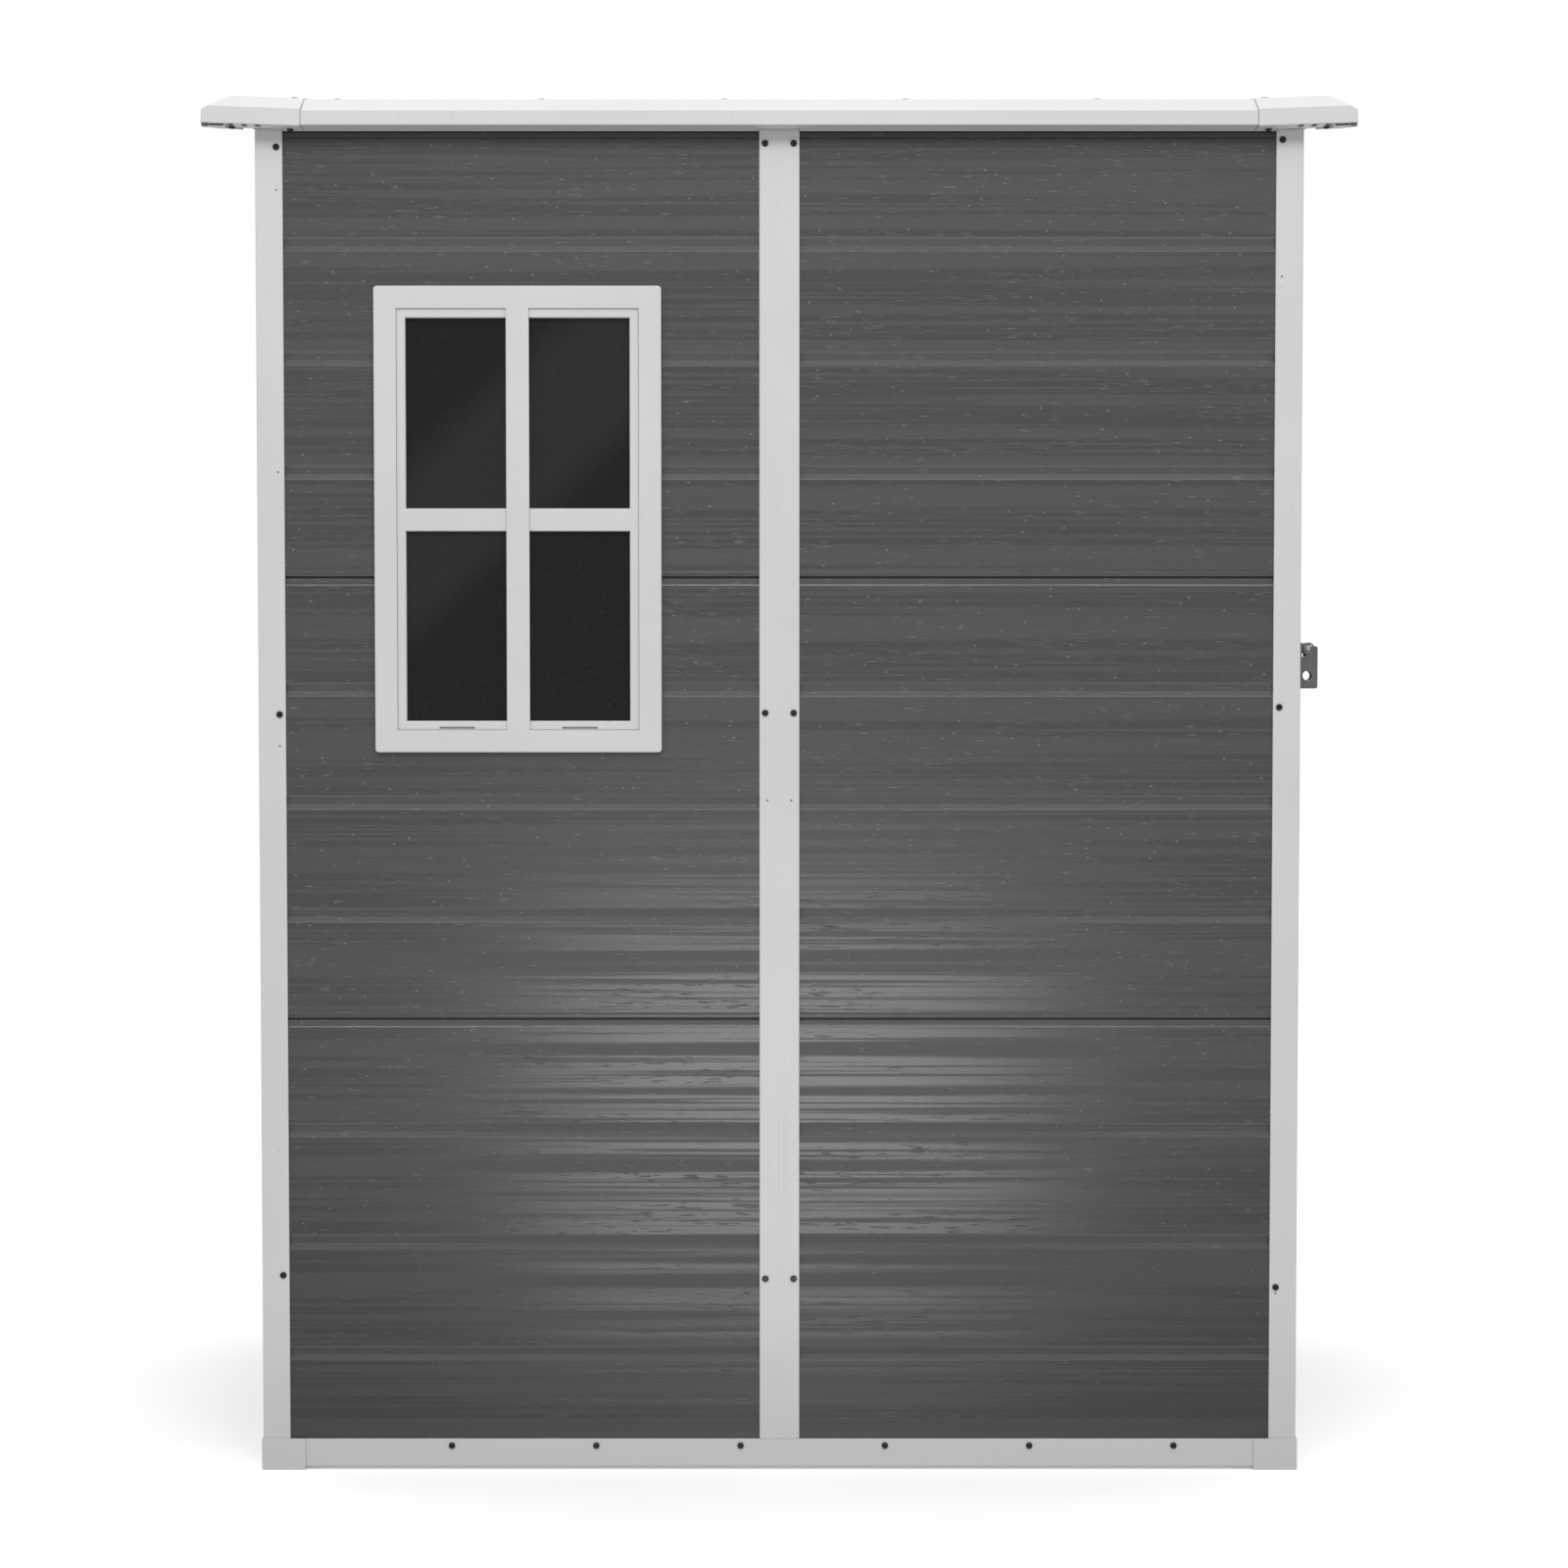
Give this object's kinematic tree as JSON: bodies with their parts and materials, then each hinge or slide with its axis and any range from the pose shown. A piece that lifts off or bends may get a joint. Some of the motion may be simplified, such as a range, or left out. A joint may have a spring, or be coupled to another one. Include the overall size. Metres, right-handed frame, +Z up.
{
  "type": "plastic garden shed",
  "caption": "Walk-in plastic garden shed with plank-embossed panels between white posts, a low gable roof, a fixed window and a hinged end door with a padlock bolt.",
  "frame": {"origin": "centre of the footprint, on the ground", "axes": "+Z up, +X towards the end with the door, -Y towards the side with the window"},
  "size_m": [1.5868, 0.937, 1.9817],
  "materials": {
    "white_trim": "satin extruded and moulded plastic, very slightly warm",
    "grey_panel": "dark grey moulded plastic with embossed wood grain and a soft sheen",
    "grey_floor": "dark grey moulded plastic",
    "tinted_pane": "dark tinted clear plastic sheet",
    "stainless": "brushed stainless steel",
    "black_screw": "black coated screw",
    "galvanised": "plain square tube"
  },
  "bodies": {
    "shed": {"floor_panels": "grey_floor", "base_rail_window_side": "white_trim", "base_rail_plain_side": "white_trim", "base_rail_rear_end": "white_trim", "door_sill": "white_trim", "base_cap_window_rear": "white_trim", "base_cap_window_door": "white_trim", "base_cap_plain_rear": "white_trim", "base_cap_plain_door": "white_trim", "corner_post_window_rear": "white_trim", "corner_post_window_door": "white_trim", "corner_post_plain_rear": "white_trim", "corner_post_plain_door": "white_trim", "centre_post_window_side": "white_trim", "centre_post_plain_side": "white_trim", "window_bay_panel_lower": "grey_panel", "window_bay_panel_middle": "grey_panel", "window_bay_panel_upper": "grey_panel", "door_bay_panel_lower": "grey_panel", "door_bay_panel_middle": "grey_panel", "door_bay_panel_upper": "grey_panel", "plain_side_panels": "grey_panel", "rear_end_panels": "grey_panel", "top_rail_window_side": "white_trim", "top_rail_plain_side": "white_trim", "gable_rail_rear": "white_trim", "gable_rail_door": "white_trim", "door_header": "white_trim", "gable_panel_rear": "grey_panel", "gable_panel_door": "grey_panel", "roof_panels_window_side": "grey_panel", "roof_panels_plain_side": "grey_panel", "ridge_beam": "galvanised", "ridge_cap": "white_trim", "eave_trim_window_side": "white_trim", "eave_trim_plain_side": "white_trim", "barge_trims_rear": "white_trim", "barge_trims_door": "white_trim", "roof_cap_window_rear": "white_trim", "roof_cap_window_door": "white_trim", "roof_cap_plain_rear": "white_trim", "roof_cap_plain_door": "white_trim", "window_frame": "white_trim", "window_sash": "white_trim", "window_panes": "tinted_pane", "window_inner_trim": "white_trim", "frame_screws": "black_screw", "roof_screws": "white_trim", "hinge_frame_leaves": "stainless", "hinge_pins": "stainless", "bolt_keeper": "stainless"},
    "door": {"door_hinge_stile": "white_trim", "door_latch_stile": "white_trim", "door_rails": "white_trim", "door_panels": "grey_panel", "hinge_door_leaves": "stainless", "bolt_guide": "stainless", "hardware_screws": "stainless"},
    "bolt": {"bolt_rod": "stainless", "bolt_flag": "stainless"}
  },
  "joints": [
    {"name": "door_hinge", "type": "hinge", "parent": "shed", "child": "door", "pos_m": [0.731, 0.4076, 0.94], "axis": [0, 0, 1], "range_deg": [0, 110]},
    {"name": "bolt_slide", "type": "slide", "parent": "door", "child": "bolt", "axis": [0, -1, 0], "range_m": [0, 0.02]}
  ]
}
